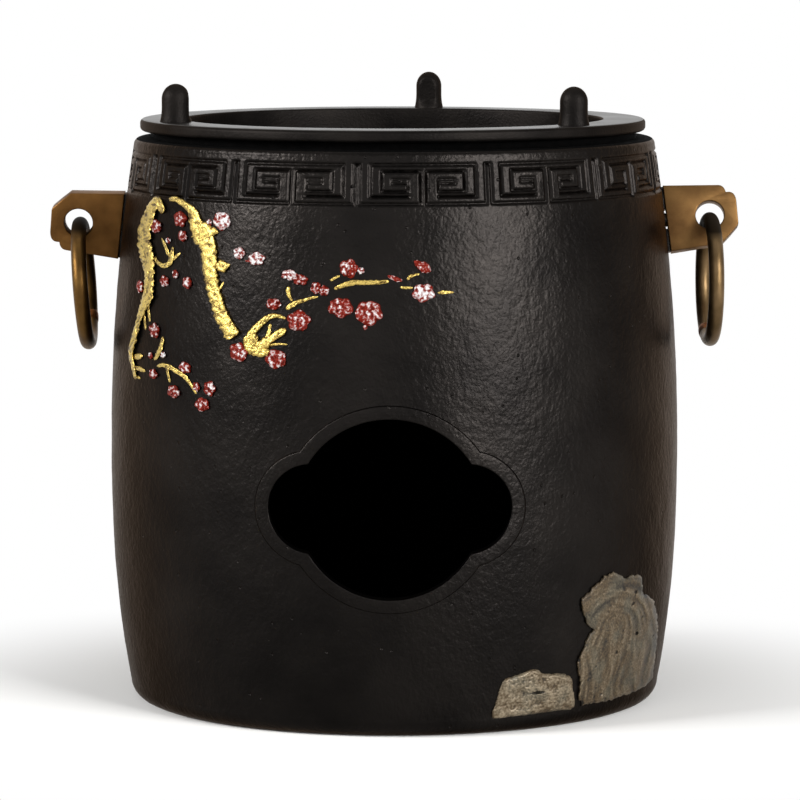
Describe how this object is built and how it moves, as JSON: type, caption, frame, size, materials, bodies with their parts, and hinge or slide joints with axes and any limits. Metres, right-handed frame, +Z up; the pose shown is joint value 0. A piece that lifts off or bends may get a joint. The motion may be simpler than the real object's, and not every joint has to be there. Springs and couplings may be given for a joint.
{
  "type": "charcoal tea stove",
  "caption": "Barrel-shaped cast-iron charcoal stove for a tea kettle, with a cusped air door, loose pot ring with lugs, slotted grate and hanging ring handles.",
  "frame": {"origin": "centre of the foot, on the surface that the stove stands on", "axes": "+Z up, +X towards the right ear, -Y towards the front, out of the air door"},
  "size_m": [0.2182, 0.1804, 0.1956],
  "materials": {
    "barrel_iron": "satin black cast iron with fine sand-cast grain, painted relief in gold and red",
    "ring_iron": "satin black cast iron, turned smooth",
    "grate_iron": "rough cast iron with ash dust",
    "ear_brass": "aged brass, satin",
    "fastener_brass": "dull brass",
    "wire_brass": "aged brass wire, satin"
  },
  "bodies": {
    "stove": {"stove_body": "barrel_iron", "left_ear": "ear_brass", "right_ear": "ear_brass", "left_ear_washer": "fastener_brass", "right_ear_washer": "fastener_brass", "left_ear_nut": "fastener_brass", "right_ear_nut": "fastener_brass"},
    "pot_ring": {"pot_ring": "ring_iron"},
    "grate": {"charcoal_grate": "grate_iron"},
    "left_handle": {"left_ring": "wire_brass"},
    "right_handle": {"right_ring": "wire_brass"}
  },
  "joints": [
    {"name": "pot_ring_lift", "type": "slide", "parent": "stove", "child": "pot_ring", "axis": [0, 0, 1], "range_m": [0, 0.06]},
    {"name": "grate_lift", "type": "slide", "parent": "stove", "child": "grate", "axis": [0, 0, 1], "range_m": [0, 0.1]},
    {"name": "left_ring_swing", "type": "hinge", "parent": "stove", "child": "left_handle", "pos_m": [-0.1001, 0.00318, 0.14976], "axis": [-0.0122, 0.9999, 0], "range_deg": [-8, 209]},
    {"name": "right_ring_swing", "type": "hinge", "parent": "stove", "child": "right_handle", "pos_m": [0.09988, -0.00352, 0.15185], "axis": [0.068, -0.9977, 0], "range_deg": [-12, 205]}
  ]
}
